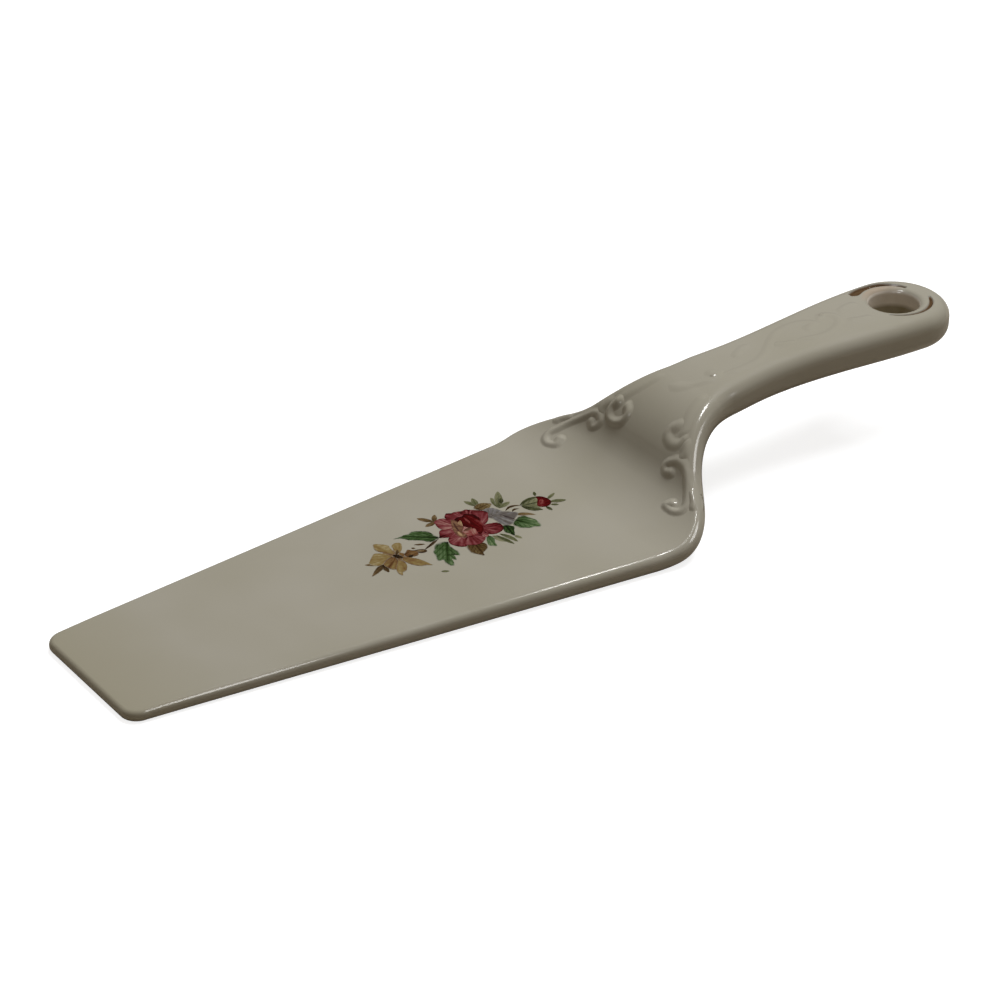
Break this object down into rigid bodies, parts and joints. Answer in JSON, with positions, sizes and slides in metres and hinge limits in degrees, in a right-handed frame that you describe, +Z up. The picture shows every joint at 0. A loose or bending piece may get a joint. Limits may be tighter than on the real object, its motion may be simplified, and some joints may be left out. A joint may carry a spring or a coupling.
{
  "type": "cake server",
  "caption": "Porcelain cake server with a wide tapered blade, a raised grip with a hanging hole, moulded scrollwork and a flower transfer.",
  "frame": {"origin": "middle of the footprint, at the height of the blade's flat underside", "axes": "+X runs from the blade's front edge to the handle's end, +Y points to the left of a person who looks along +X, +Z points up from the table"},
  "size_m": [0.2346, 0.0666, 0.0283],
  "materials": {
    "porcelain": "clear gloss glaze over ivory porcelain",
    "brown_stain": "fired brown stain under the glaze",
    "crimson_enamel": "fired on-glaze transfer colour",
    "pink_enamel": "fired on-glaze transfer colour",
    "ochre_enamel": "fired on-glaze transfer colour",
    "brown_enamel": "fired on-glaze transfer colour",
    "green_enamel": "fired on-glaze transfer colour",
    "grey_green_enamel": "fired on-glaze transfer colour",
    "lilac_enamel": "fired on-glaze transfer colour"
  },
  "bodies": {
    "root": {"blade": "porcelain", "neck": "porcelain", "handle": "porcelain", "far_groove_stain": "brown_stain", "near_groove_stain": "brown_stain", "near_shoulder_scroll": "porcelain", "far_shoulder_scroll": "porcelain", "near_neck_scroll": "porcelain", "far_neck_scroll": "porcelain", "near_rim_leaves": "porcelain", "far_rim_leaves": "porcelain", "near_neck_leaf": "porcelain", "far_neck_leaf": "porcelain", "grip_front_scroll": "porcelain", "grip_middle_scroll": "porcelain", "grip_rear_scroll": "porcelain", "grip_leaves": "porcelain", "rose_stamens": "ochre_enamel", "rose_inner_petals": "crimson_enamel", "rose_petals": "pink_enamel", "rosebud_petals": "crimson_enamel", "lily_heart": "brown_enamel", "lily_petals": "ochre_enamel", "violet_petals": "lilac_enamel", "rosebud_sepals": "grey_green_enamel", "ochre_leaves": "ochre_enamel", "rose_leaves": "green_enamel", "lily_bud": "brown_enamel", "fern_leaves": "grey_green_enamel", "brown_leaves": "brown_enamel", "flower_stems": "brown_enamel", "grass_strokes": "green_enamel"}
  },
  "joints": []
}
